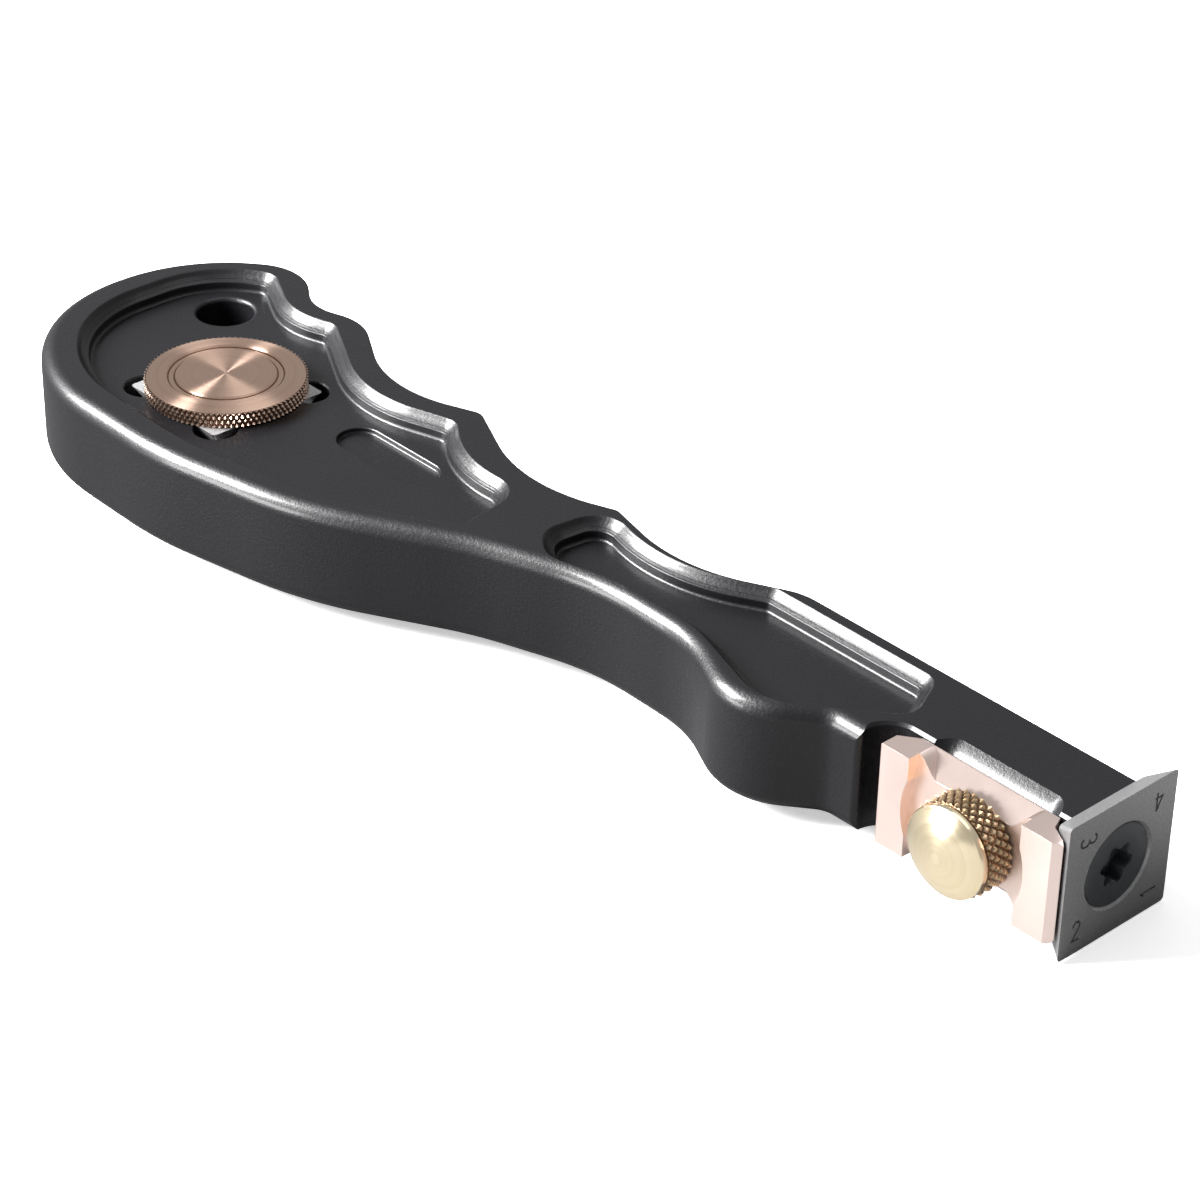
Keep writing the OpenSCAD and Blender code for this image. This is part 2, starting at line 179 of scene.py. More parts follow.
def rounded_rings(corners, move, height, angles, step):
    """Rings of a quarter-round edge, one for each angle from the side to the top face.

    At angle t each point moves in by e (1 - cos t), and z = h - e (1 - sin t). The edge radius
    e runs evenly along each corner's arc, from its mean with the corner before to its mean
    with the corner after, so that it nowhere changes at a jump.
    """
    turned, arcs = corner_arcs(corners, move, step)
    e = np.array([c[3] for c in turned])
    before, after = (e + np.roll(e, 1)) / 2, (e + np.roll(e, -1)) / 2
    edge = np.concatenate([np.linspace(a, b, len(arc)) if len(arc) > 1 else [m]
                           for a, b, m, arc in zip(before, after, e, arcs)])
    points, probe = np.vstack(arcs), 0.3
    inward = (np.vstack(corner_arcs(corners, move + probe, step)[1]) - points) / probe
    return [np.column_stack([points + inward * (edge * (1 - math.cos(t)))[:, None],
                             height - edge * (1 - math.sin(t))]) for t in angles]


def grid_faces(rows, columns):
    """Quads of a grid of points, row after row, whose last column joins the first."""
    j, i = np.mgrid[0:rows - 1, 0:columns]
    a = j * columns + i
    b = j * columns + (i + 1) % columns
    return np.stack([a, b, b + columns, a + columns], -1).reshape(-1, 4)


def new_object(name, points, quads, caps=(), centre=(0, 0, 0), turn=UPRIGHT):
    """A mesh object of the points centre + turn P in millimetres, with quads and lists of caps."""
    points = np.asarray(points, float) @ np.array(turn, float).T + centre
    mesh = bpy.data.meshes.new(name)
    faces = quads.tolist() + [list(c) for c in caps]
    mesh.from_pydata((points * MM).tolist(), [], faces)
    mesh.validate()
    obj = bpy.data.objects.new(name, mesh)
    bpy.context.scene.collection.objects.link(obj)
    return obj


def round_axis(r, z, a):
    """The points (r cos a, r sin a, z), row after row."""
    return np.stack([r * np.cos(a), r * np.sin(a), z + 0 * a], -1).reshape(-1, 3)


def loft(name, rings):
    """A closed solid: P(s, i) = rings[s][i], with a flat cap on the lowest and the highest."""
    rows, columns = len(rings), len(rings[0])
    caps = [range(columns - 1, -1, -1), range((rows - 1) * columns, rows * columns)]
    return new_object(name, np.vstack(rings), grid_faces(rows, columns), caps)


def revolve(name, profile, segments, centre=(0, 0, 0), turn=UPRIGHT):
    """P(s, a) = centre + turn (r(s) cos a, r(s) sin a, z(s)) for a profile of pairs r, z.

    The profile runs upwards. An end on the axis closes in a fan of its own, any other by a cap.
    """
    profile = np.asarray(profile, float)
    body = profile[profile[:, 0] > ON_AXIS]
    points = round_axis(body[:, :1], body[:, 1:], np.linspace(0, TAU, segments, endpoint=False))
    caps = []
    for end, first in ((0, 0), (-1, (len(body) - 1) * segments)):
        around = list(range(first, first + segments))
        if profile[end, 0] <= ON_AXIS:
            points = np.vstack([points, [0, 0, profile[end, 1]]])
            tip = len(points) - 1
            fan = [(around[i], around[(i + 1) % segments], tip) for i in range(segments)]
            caps += fan if end == -1 else [f[::-1] for f in fan]
        else:
            caps.append(around if end == -1 else around[::-1])
    return new_object(name, points, grid_faces(len(body), segments), caps, centre, turn)


def prism(name, outline, low, high, axis="z"):
    """P(s, h) = outline(s) + h axis: a prism of a closed outline from low to high."""
    p = np.asarray(outline, float)
    if (p[:, 0] * np.roll(p[:, 1], -1) - p[:, 1] * np.roll(p[:, 0], -1)).sum() < 0:
        p = p[::-1]
    rings = [np.column_stack([p, np.full(len(p), h)]) for h in (low, high)]
    # the outline's own pair of axes, then the prism's: a right-handed set keeps normals out
    order = {"z": (0, 1, 2), "x": (2, 0, 1), "y": (1, 2, 0)}[axis]
    return loft(name, [r[:, order] for r in rings])


def square(x, y, half):
    """The corners of an upright square round x, y, anticlockwise from above."""
    return [(x - half, y - half), (x + half, y - half), (x + half, y + half), (x - half, y + half)]


def arc(cx, cy, r, start, end, n):
    """n points (cx + r cos t, cy + r sin t) for t from start to end in degrees."""
    t = np.radians(np.linspace(start, end, n))
    return np.column_stack([cx + r * np.cos(t), cy + r * np.sin(t)])


def combine(obj, others, operation="DIFFERENCE"):
    """Cuts closed solids from obj one after the other, or keeps what obj shares with them."""
    for other in others:
        mod = obj.modifiers.new("Cut", "BOOLEAN")
        mod.operation, mod.solver, mod.material_mode = operation, "MANIFOLD", "TRANSFER"
        mod.object = other
    settle(obj)
    for other in others:
        bpy.data.objects.remove(other)
    return obj


def split(obj, stations):
    """Divides the faces at planes x = station, so that a later cut leaves no face with a hole."""
    mesh = bmesh.new()
    mesh.from_mesh(obj.data)
    for x in stations:
        bmesh.ops.bisect_plane(mesh, geom=[*mesh.verts, *mesh.edges, *mesh.faces],
                               plane_co=(x * MM, 0, 0), plane_no=(1, 0, 0))
    mesh.to_mesh(obj.data)
    mesh.free()
    return obj


def settle(obj):
    """Makes the object's modifiers part of its mesh."""
    bpy.context.view_layer.update()
    solved = obj.evaluated_get(bpy.context.evaluated_depsgraph_get())
    old = obj.data
    name = old.name
    obj.data = bpy.data.meshes.new_from_object(solved)
    obj.modifiers.clear()
    bpy.data.meshes.remove(old)
    obj.data.name = name


def smooth(obj, angle=30.0):
    """Shades smooth but for edges sharper than angle in degrees."""
    obj.data.shade_smooth()
    obj.data.set_sharp_from_angle(angle=math.radians(angle))


def soften(obj, width, angle=32.0):
    """Rounds the edges sharper than angle in degrees by a bevel width millimetres wide."""
    mod = obj.modifiers.new("Soft edges", "BEVEL")
    mod.width = width * MM
    mod.segments = 2
    mod.limit_method = "ANGLE"
    mod.angle_limit = math.radians(angle)
    mod.miter_outer = "MITER_ARC"


def weigh(obj):
    """Normals follow the large faces, so that flats stay flat beside small rounds."""
    mod = obj.modifiers.new("Flat normals", "WEIGHTED_NORMAL")
    mod.weight = 50
    mod.keep_sharp = True


def give(obj, body, nodes, materials):
    """The piece takes its materials, rides its body and stands for its CAD nodes."""
    slots = obj.data.materials
    for k, m in enumerate(materials):
        if k < len(slots):
            slots[k] = m
        else:
            slots.append(m)
    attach(obj, body)
    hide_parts(*nodes)


# Materials


class Nodes:
    """A material's node tree, with short calls to add and join its nodes.

    Noise scales are per metre in the shared frame, and a bump's distance is in millimetres.
    """

    def __init__(self, name, color, metallic, roughness, specular=0.5):
        self.material = bpy.data.materials.new(name)
        self.material.use_nodes = True
        self.tree = self.material.node_tree
        self.shader = self.tree.nodes["Principled BSDF"]
        self.set("Base Color", (*color, 1))
        self.set("Metallic", metallic)
        self.set("Roughness", roughness)
        self.set("Specular IOR Level", specular)
        self.coord = self.tree.nodes.new("ShaderNodeTexCoord").outputs["Object"]

    def set(self, socket, value):
        self.shader.inputs[socket].default_value = value

    def link(self, out, socket):
        self.tree.links.new(out, socket)

    def noise(self, scale, detail=2.0, roughness=0.5, vector=None):
        n = self.tree.nodes.new("ShaderNodeTexNoise")
        n.inputs["Scale"].default_value = scale
        n.inputs["Detail"].default_value = detail
        n.inputs["Roughness"].default_value = roughness
        self.link(vector if vector is not None else self.coord, n.inputs["Vector"])
        return n.outputs["Fac"]

    def scaled(self, factors):
        n = self.tree.nodes.new("ShaderNodeMapping")
        n.inputs["Scale"].default_value = factors
        self.link(self.coord, n.inputs["Vector"])
        return n.outputs["Vector"]

    def ramp(self, value, low, high, to_low, to_high):
        n = self.tree.nodes.new("ShaderNodeMapRange")
        ends = {"From Min": low, "From Max": high, "To Min": to_low, "To Max": to_high}
        for socket, v in ends.items():
            n.inputs[socket].default_value = v
        self.link(value, n.inputs["Value"])
        return n.outputs["Result"]

    def calculate(self, kind, operation, values):
        n = self.tree.nodes.new(kind)
        n.operation = operation
        for socket, v in zip(n.inputs, values):
            if isinstance(v, bpy.types.NodeSocket):
                self.link(v, socket)
            else:
                socket.default_value = v
        return n.outputs

    def math(self, operation, *values):
        return self.calculate("ShaderNodeMath", operation, values)["Value"]

    def vector(self, operation, *values):
        out = "Value" if operation in ("LENGTH", "DOT_PRODUCT") else "Vector"
        return self.calculate("ShaderNodeVectorMath", operation, values)[out]

    def mix(self, factor, a, b):
        n = self.tree.nodes.new("ShaderNodeMix")
        n.data_type = "RGBA"
        n.inputs["A"].default_value = (*a, 1)
        n.inputs["B"].default_value = (*b, 1)
        self.link(factor, n.inputs["Factor"])
        return n.outputs["Result"]

    def bump(self, height, distance, strength):
        n = self.tree.nodes.new("ShaderNodeBump")
        n.inputs["Distance"].default_value = distance * MM
        n.inputs["Strength"].default_value = strength
        self.link(height, n.inputs["Height"])
        return n.outputs["Normal"]

    def use(self, **sockets):
        names = {"color": "Base Color", "roughness": "Roughness", "normal": "Normal",
                 "tangent": "Tangent"}
        for key, out in sockets.items():
            self.link(out, self.shader.inputs[names[key]])
        return self.material


def anodised_black():
    """Black coat over blasted metal: fine grain in the bump, and slow drift in the roughness."""
    m = Nodes("Black anodised", (0.003, 0.003, 0.0038), 0.0, 0.42, 0.22)
    grain = m.noise(2900, 3.0, 0.7)
    drift = m.noise(60, 3.0)
    m.set("Coat Weight", 0.2)
    m.set("Coat Roughness", 0.16)
    return m.use(
        normal=m.bump(grain, 0.06, 0.8),
        roughness=m.ramp(drift, 0.3, 0.7, 0.36, 0.42),
    )


def blasted_gold():
    """Rose gold coat over blasted metal."""
    low, high = (0.88, 0.725, 0.665), (0.93, 0.775, 0.715)
    m = Nodes("Blasted rose gold", high, 1.0, 0.44)
    grain = m.noise(4200, 2.0, 0.6)
    drift = m.noise(90, 3.0)
    return m.use(
        normal=m.bump(grain, 0.01, 0.4),
        roughness=m.ramp(drift, 0.3, 0.7, 0.40, 0.48),
        color=m.mix(m.ramp(drift, 0.35, 0.65, 0, 1), low, high),
    )


def turned_metal(name, low, high, roughness, centre, axis, anisotropic, marks):
    """Turned metal: fine rings round an axis, and a highlight stretched across them.

    With d the place less the centre, the height is d . axis, and d less its part along the
    axis points outward: its length is the ring's radius, and it is the highlight's tangent.
    """
    m = Nodes(name, high, 1.0, roughness)
    m.set("Anisotropic", anisotropic)
    away = m.vector("SUBTRACT", m.coord, tuple(c * MM for c in centre))
    along = m.vector("DOT_PRODUCT", away, axis)
    scaled = m.tree.nodes.new("ShaderNodeVectorMath")
    scaled.operation = "SCALE"
    scaled.inputs[0].default_value = axis
    m.link(along, scaled.inputs["Scale"])
    flat = m.vector("SUBTRACT", away, scaled.outputs["Vector"])
    radius = m.vector("LENGTH", flat)
    outward = m.vector("NORMALIZE", flat)
    turn = m.tree.nodes.new("ShaderNodeVectorTransform")
    turn.vector_type = "VECTOR"
    turn.convert_from, turn.convert_to = "OBJECT", "WORLD"
    m.link(outward, turn.inputs["Vector"])
    rings = m.tree.nodes.new("ShaderNodeCombineXYZ")
    m.link(radius, rings.inputs["X"])
    m.link(along, rings.inputs["Y"])
    lines = m.noise(9000, 2.0, 0.7, rings.outputs["Vector"])
    return m.use(
        tangent=turn.outputs["Vector"],
        normal=m.bump(lines, 0.0012, marks),
        roughness=m.ramp(lines, 0.3, 0.7, roughness - 0.04, roughness + 0.05),
        color=m.mix(m.ramp(lines, 0.35, 0.65, 0, 1), low, high),
    )


def knurled_metal_painted_shade(name, dark, light, radius, depth, centre, axis):
    """Knurled metal with painted shade: the colour darkens deep in the grooves, by the distance |d
    x axis| from the axis.
    """
    m = Nodes(name, light, 1.0, 0.3)
    away = m.vector("SUBTRACT", m.coord, tuple(c * MM for c in centre))
    far = m.vector("LENGTH", m.vector("CROSS_PRODUCT", away, tuple(axis)))
    # painted shade: dark at the bottom of the grooves, light on the tops of the diamonds
    height = m.ramp(far, (radius - depth * 0.95) * MM, (radius - depth * 0.25) * MM, 0, 1)
    return m.use(
        color=m.mix(height, dark, light),
        roughness=m.ramp(m.noise(3000), 0.3, 0.7, 0.22, 0.36),
    )


def ground_carbide(name, tone):
    """Ground carbide: fine scratches one way, and small dark and light specks."""
    m = Nodes(name, (tone, tone, tone * 1.03), 0.75, 0.36)
    scratch = m.noise(900, 3.0, 0.7, m.scaled((1, 14, 1)))
    speck = m.noise(5200, 2.0, 0.75)
    low, high = (tone * 0.84,) * 3, (tone * 1.14, tone * 1.14, tone * 1.16)
    return m.use(
        color=m.mix(m.ramp(speck, 0.38, 0.62, 0, 1), low, high),
        roughness=m.ramp(scratch, 0.3, 0.7, 0.3, 0.42),
        normal=m.bump(scratch, 0.003, 0.5),
    )


def black_oxide():
    """Black oxide on steel."""
    m = Nodes("Black oxide", (0.022, 0.024, 0.027), 0.3, 0.36)
    return m.use(
        normal=m.bump(m.noise(3000, 2.0), 0.004, 0.4),
        roughness=m.ramp(m.noise(400, 2.0), 0.3, 0.7, 0.3, 0.44),
    )


def engraving_dark():
    """Burnt marks on the carbide."""
    m = Nodes("Laser marks", (0.02, 0.02, 0.021), 0.0, 0.7)
    return m.use(roughness=m.ramp(m.noise(3000, 2.0), 0.3, 0.7, 0.6, 0.8))


def plain_steel():
    """Rolled steel thread."""
    m = Nodes("Thread steel", (0.45, 0.45, 0.46), 1.0, 0.32)
    return m.use(roughness=m.ramp(m.noise(1500, 2.0), 0.3, 0.7, 0.26, 0.4))


# Pieces


def handle_body(s):
    """The handle: an outline lofted through quarter-round edges, cut by the dishes and bores."""
    # the skin keeps the dressed side just inside the CAD part's
    step, skin, ease, past, far = s.outline_step, 0.02, 0.3, 1, 20
    angles = np.radians(np.linspace(0, 90, s.edge_rings))
    upper = rounded_rings(OUTLINE, skin, TOP_Z, angles, step)
    lower = [r * (1, 1, -1) for r in upper[::-1]]
    body = split(loft("handle_body", lower + upper), HOLE_STATIONS)
    cuts = [split(loft("dish", dish_rings(d, step)), HOLE_STATIONS) for d in (PALM_DISH, NECK_DISH)]
    through = [(-TOP_Z - past, -ease), (-TOP_Z, -ease), (-TOP_Z + ease, 0), (TOP_Z - ease, 0),
               (TOP_Z, -ease), (TOP_Z + past, -ease)]
    cuts.append(loft("recess", [ring(FENCE_RECESS, k, z, step) for z, k in through]))
    cuts.append(prism("seat", [(0, -far), (far / 2, -far), (far / 2, far), (0, far)], -far, far))
    cuts += wall_bevels()
    cuts += bores()
    return combine(body, cuts)


def dish_rings(corners, step):
    """Rings of a dish from its floor up: floor round, upright step, hollow band, rounded rim.

    A ring stands at height z and is moved in by k, where the pairs k, z follow the wall's
    section. The band runs up by drop while k falls by its width, hollowed by a half sine, with
    a fine machining line raised on it from f = 0.34 to f = 0.66.
    """
    r, band, drop, nick, line = 0.4, 1.3, 1.1, 0.12, 0.035
    foot = arc(band + r, FLOOR_Z + r, r, 270, 180, 6)
    low = TOP_Z - drop
    ledge = arc(band - nick, low - nick, nick, 0, 90, 4)
    shares = ((0.22, 0), (0.34, 0), (0.34, line), (0.5, line), (0.66, line), (0.66, 0), (0.82, 0))
    hollow = [(band * (1 - f), low + drop * (f - 0.16 * math.sin(math.pi * f)) + up)
              for f, up in shares]
    rim = [(0.1, TOP_Z - 0.1), (0.02, TOP_Z - 0.03), (-0.08, TOP_Z)]
    section = [*foot, *ledge, *hollow, *rim, (-0.08, TOP_Z + 1)]
    return [ring(corners, k, z, step) for k, z in section]


def wall_bevels():
    """The bevels along the top and the bottom edge of the wall that the fence slides on.

    The bevel's width at x is w (1 - (1 - t)^2.4) with t the share of the run-out passed, so
    that both ends run out as a ball cutter leaves them. Across, it swells by a half sine.
    """
    first, last, runout, full, skin, past = -16.9, -1.1, 2.3, 2.1, 0.02, 1
    x = np.concatenate([np.linspace(first, -14.6, 12), np.linspace(-14, -4, 6),
                        np.linspace(-3.4, last, 12)])
    t = np.clip(np.minimum(x - first, last - x) / runout, 0, 1)
    width = full * (1 - (1 - t) ** 2.4) - skin
    made = []
    for sign in (1, -1):
        rings = []
        for a, w in zip(x, width):
            low = TOP_Z - w
            swell = []
            for f in np.linspace(0, 1, 9):
                out = 0.06 * w * math.sin(math.pi * f)
                swell.append((WALL_Y + w * f - out, low + w * f + out))
            corners = [(WALL_Y - past, low - past), *swell,
                       (WALL_Y + w + past, TOP_Z + past), (WALL_Y - past, TOP_Z + past)]
            rings.append([(a, y, z * sign) for y, z in corners[::sign]])
        made.append(loft("bevel", np.array(rings)))
    return made


def bores():
    """Cutters for the hanging hole, the storage pocket, its thread and the two screw threads."""
    r, c, past = HANG_R, 0.5, 8
    mouth = [(r + c - c * math.sin(a), c * (1 - math.cos(a)))
             for a in np.radians(np.linspace(0, 90, 7))]
    section = [(r + c, -past)] + [(x, -TOP_Z + z) for x, z in mouth]
    section += [(x, FLOOR_Z - z) for x, z in mouth[::-1]] + [(r + c, past)]
    made = [revolve("hang", section, 96, (*HANG, 0)),
            prism("pocket", square(*STORE, POCKET_HALF), STORE_Z, past)]
    relief_r, lip = 2.4, 0.15
    section = [(relief_r, STORE_Z), (relief_r, FLOOR_Z - lip), (relief_r + lip, FLOOR_Z),
               (relief_r + lip, past)]
    for x, y in [(i * RELIEF_OUT, j * RELIEF_OUT) for i in (-1, 1) for j in (-1, 1)]:
        made.append(revolve("relief", section, 64, (STORE[0] + x, STORE[1] + y, 0)))
    under = -TOP_Z + 0.9
    made.append(revolve("storage_thread", [(M5_R, under), (M5_R, 0)], 64, (*STORE, 0)))
    made.append(revolve("insert_thread", [(M5_R, -6.7), (M5_R, 1)], 64, turn=TO_FACE))
    made.append(revolve("thumb_thread", [(M4_R, -3.3), (M4_R, 9)], 64, (THUMB_X, 0, 0), TO_FRONT))
    made.append(label_recess())
    return made


def label_recess():
    """The bare recess: a slot with round ends, its floor rounded up into the wall."""
    x0, x1, y, r, foot, rim, past = -99, -89.5, -6.65, 2.5, 0.25, 0.08, 7
    box = [(x0 - r, y - r), (x1 + r, y - r), (x1 + r, y + r), (x0 - r, y + r)]
    section = [*arc(foot, FLOOR_Z - 0.35, foot, 270, 180, 4), (0, FLOOR_Z - rim), (-rim, FLOOR_Z),
               (-rim, past)]
    return loft("label", [ring([(*p, r * 0.999) for p in box], k, z, 0.3) for k, z in section])


def insert_solid(name):
    """A square insert, back face at z = 0 and cutting face at z = INSERT_T, sides ground back.

    Half the side grows from INSERT_REAR to INSERT_HALF with height, and each corner keeps a
    small round. The faces are split beside the edge numbers and at the screw hole.
    """
    rings, corner_r, past = [], 0.45, 1
    for z in (0, INSERT_T):
        h = INSERT_REAR + (INSERT_HALF - INSERT_REAR) * z / INSERT_T
        rings.append(ring([(*p, corner_r) for p in square(0, 0, h)], 0, z, 0.1))
    body = split(loft(name, rings), (-5.2, -4.7, 0.03, 5.03))
    sink = INSERT_SINK_R - INSERT_HOLE_R
    section = [(INSERT_HOLE_R, -past), (INSERT_HOLE_R, INSERT_T - sink), (INSERT_SINK_R, INSERT_T),
               (INSERT_SINK_R + past, INSERT_T + past)]
    return combine(body, [revolve("sink", section, 96)])


# Strokes of the four edge numbers, in a cell one wide and two high.
STROKES = {
    "1": [[(0.18, 1.55), (0.55, 2.0), (0.55, 0.0)]],
    "2": [[(0.05, 1.5), (0.12, 1.8), (0.38, 2.0), (0.68, 1.95), (0.92, 1.7), (0.93, 1.4),
           (0.75, 1.05), (0.35, 0.55), (0.03, 0.0), (0.98, 0.0)]],
    "3": [[(0.05, 1.75), (0.3, 2.0), (0.68, 2.0), (0.92, 1.75), (0.9, 1.35), (0.65, 1.1),
           (0.38, 1.07)],
          [(0.65, 1.1), (0.97, 0.8), (0.95, 0.3), (0.68, 0.02), (0.3, 0.0), (0.03, 0.28)]],
    "4": [[(0.72, 0.0), (0.72, 2.0)], [(0.7, 1.98), (0.02, 0.55), (1.0, 0.55)]],
}


def stroke_solid(name, points, width, low, high):
    """A band of even width along a line of points, from low to high.

    Each side is the line moved by half the width along the mean normal of its two segments.
    """
    p = np.asarray(points, float)
    d = np.diff(p, axis=0)
    n = np.column_stack([-d[:, 1], d[:, 0]]) / np.linalg.norm(d, axis=1)[:, None]
    mean = np.vstack([n[:1], n[:-1] + n[1:], n[-1:]])
    mean /= np.linalg.norm(mean, axis=1)[:, None]
    first = np.vstack([n[:1], n])
    mean /= np.clip((mean * first).sum(1), 0.55, 1)[:, None]
    outline = np.vstack([p - mean * width / 2, (p + mean * width / 2)[::-1]])
    return prism(name, outline, low, high)


def numbered(body, s, dark):
    """Cuts the numbers 1 to 4 beside the insert's edges.

    A point p of a stroke's cell comes to turn (p - centre) height / 2 + (u, v).
    """
    marks = [("2", (-5.2, -4.9), 0), ("3", (-4.7, 5.0), -90), ("4", (5.0, 4.9), 180),
             ("1", (5.0, -5.3), 90)]
    cutters = []
    for digit, (u, v), angle in marks:
        a = math.radians(angle)
        turn = np.array([(math.cos(a), -math.sin(a)), (math.sin(a), math.cos(a))])
        for points in STROKES[digit]:
            p = (np.array(points) - (0.5, 1.0)) * s.digit_height / 2
            p = p @ turn.T + (u, v)
            low = INSERT_T - s.digit_depth
            cutter = stroke_solid("mark", p, s.digit_stroke, low, INSERT_T + 1)
            cutter.data.materials.append(dark)
            cutters.append(cutter)
    return combine(body, cutters)


def place(obj, matrix, offset=(0, 0, 0)):
    """Turns and moves the mesh itself, so that the object stays at the origin."""
    m = Matrix([[*row, o * MM] for row, o in zip(matrix, offset)] + [[0, 0, 0, 1]])
    obj.data.transform(m)
    return obj


def screw_solid(s):
    """The insert screw: a flat head on a cone and a shank, and a six-lobed socket.

    The socket's radius at angle a is R (0.86 + 0.14 cos(6 (a - turn))).
    """
    shank, top, cone = M5_R - 0.05, INSERT_T - 0.15, INSERT_T - INSERT_SINK_R + M5_R
    head_r = shank + top - cone
    end, tip, brim = -6.3, 0.4, head_r - 0.1
    section = [(0, end), (shank - tip, end), (shank, end + tip), (shank, cone), (brim, top - 0.1),
               (brim, top - 0.04), (head_r - 0.18, top), (0, top)]
    body = revolve("insert_screw_body", section, 128)
    a = np.linspace(0, TAU, 180, endpoint=False)
    lobes = s.socket_width / 2 * (0.86 + 0.14 * np.cos(6 * (a - math.radians(s.socket_turn))))
    wave = np.column_stack([lobes * np.cos(a), lobes * np.sin(a)])
    wide = np.column_stack([wave * 1.05, np.full(len(wave), top + 0.02)])
    depth, mouth = 1.7, 0.12
    rings = [np.column_stack([wave, np.full(len(wave), z)]) for z in (top - depth, top - mouth)]
    socket = loft("socket", rings + [wide, wide + (0, 0, 1)])
    return combine(body, [socket])


def fence_solid():
    """The fence: its side view and its plan meet, then channel, round, scoops and slot are cut.

    Each scoop's ends fall by rise (3 t^2 - 2 t^3), with t the share of the run passed.
    """
    x0, x1, h, far = -20.4, 1.8, 5.65, 12
    back, gap, slope = WALL_Y - 0.05, 0.3, math.tan(math.radians(30))
    small, chamfer = 0.3, 0.75
    beside = [(x, -INSERT_HALF + (INSERT_T - x) * slope - gap) for x in (x1, -0.4)]
    plan = [(x0 + small, FENCE_Y), (x1 - chamfer, FENCE_Y), (x1, FENCE_Y + chamfer), *beside,
            (-1, back), (x0 + 2.4, back), (x0 + small, back - 1.5), (x0, back - 2),
            (x0, FENCE_Y + small)]
    c = 0.35
    side = [(x0, -h + c), (x0 + c, -h), (x1 - c, -h), (x1, -h + c), (x1, h - c), (x1 - c, h),
            (x0 + c, h), (x0, h - c)]
    body = prism("fence_body", plan, -10, 10)
    combine(body, [prism("side", [(z, x) for x, z in side], -far, 0, "y")], "INTERSECT")
    mid, half = THUMB_X - 0.3, 7.0
    round_r = half + 0.65
    channel = [(mid - half, -far), (mid + half, -far), (mid + half, CHANNEL_Y),
               (mid - half, CHANNEL_Y)]
    cuts = [prism("channel", channel, -10, 10),
            revolve("round", [(round_r, -CHANNEL_Y), (round_r, far)], 128, (mid, 0, 0), TO_FRONT)]
    waist, rise = 3.65, 2.0
    reach = rise + 0.5
    section = np.array([(CHANNEL_Y - 2, waist - 2), (CHANNEL_Y + 4, waist + 4),
                        (CHANNEL_Y - 2, waist + 4)])
    run = [(half - reach * t, h - rise * (3 * t ** 2 - 2 * t ** 3)) for t in np.linspace(0, 1, 12)]
    run = np.vstack([(half, h + 2), run, (half - reach, waist - 2)])
    ends = np.vstack([run * (-1, 1), run[::-1]]) + (mid, 0)
    for sign in (1, -1):
        scoop = prism("scoop", section * (1, sign), -60, 60, "x")
        limits = prism("scoop_ends", (ends * (1, sign))[:, ::-1], -30, 30, "y")
        cuts.append(combine(scoop, [limits], "INTERSECT"))
    slot_r = M4_R + 0.1
    slot = np.vstack([arc(THUMB_X - SLIDE_FORWARD, 0, slot_r, 90, 270, 24),
                      arc(THUMB_X + SLIDE_BACK, 0, slot_r, -90, 90, 24)])
    cuts.append(prism("slot", slot[:, ::-1], -far, 0, "y"))
    return combine(body, cuts)


def knurled_rows(r, low, high, teeth, depth, slant):
    """Rows of a diamond knurl: r(a, z) = r - depth * max(|saw(u)|, |saw(v)|).

    u and v = teeth * a / 2 pi plus and minus slant * z * teeth / (2 pi r), and saw runs from -1
    to 1 with each tooth, so that small pyramids stand between two sets of crossing grooves.
    """
    per_tooth = 8
    a = np.linspace(0, TAU, teeth * per_tooth, endpoint=False)
    dz = TAU * r / teeth / per_tooth
    rows = max(3, round((high - low) / dz) + 1)
    z = np.linspace(low, high, rows)[:, None]
    turn = teeth * a / TAU
    rise = slant * (z - low) * teeth / (TAU * r)
    saw = [np.abs((turn + k * rise) % 1 - 0.5) * 2 for k in (1, -1)]
    radius = r - depth * np.maximum(saw[0], saw[1])
    return a, z + 0 * radius, radius


def disc_with_knurl(name, under, knurl, over, centre, turn=UPRIGHT):
    """One surface of revolution whose middle rows are knurled.

    P(s, a) = (r(s, a) cos a, r(s, a) sin a, z(s, a)): under and over are profiles of pairs r, z
    from the axis to the rim and back, and the knurl's rows lie between them. The knurl's faces
    take the second material.
    """
    a, knurl_z, knurl_r = knurl
    n = len(a)
    below, above = ([p for p in profile if p[0] > ON_AXIS] for profile in (under, over))

    def rows(k, knurled):
        return np.vstack([np.full((1, n), p[k]) for p in below] + [knurled]
                         + [np.full((1, n), p[k]) for p in above])

    points = round_axis(rows(0, knurl_r), rows(1, knurl_z), a)
    count = len(points)
    last = count - n
    fans = [((k + 1) % n, k, count) for k in range(n)]
    fans += [(last + k, last + (k + 1) % n, count + 1) for k in range(n)]
    points = np.vstack([points, [0, 0, under[0][1]], [0, 0, over[-1][1]]])
    obj = new_object(name, points, grid_faces(count // n, n), fans, centre, turn)
    slot = np.zeros(len(obj.data.polygons), np.int32)
    first = len(below) - 1
    slot[first * n:(first + len(knurl_r) + 1) * n] = 1
    obj.data.polygons.foreach_set("material_index", slot)
    return obj


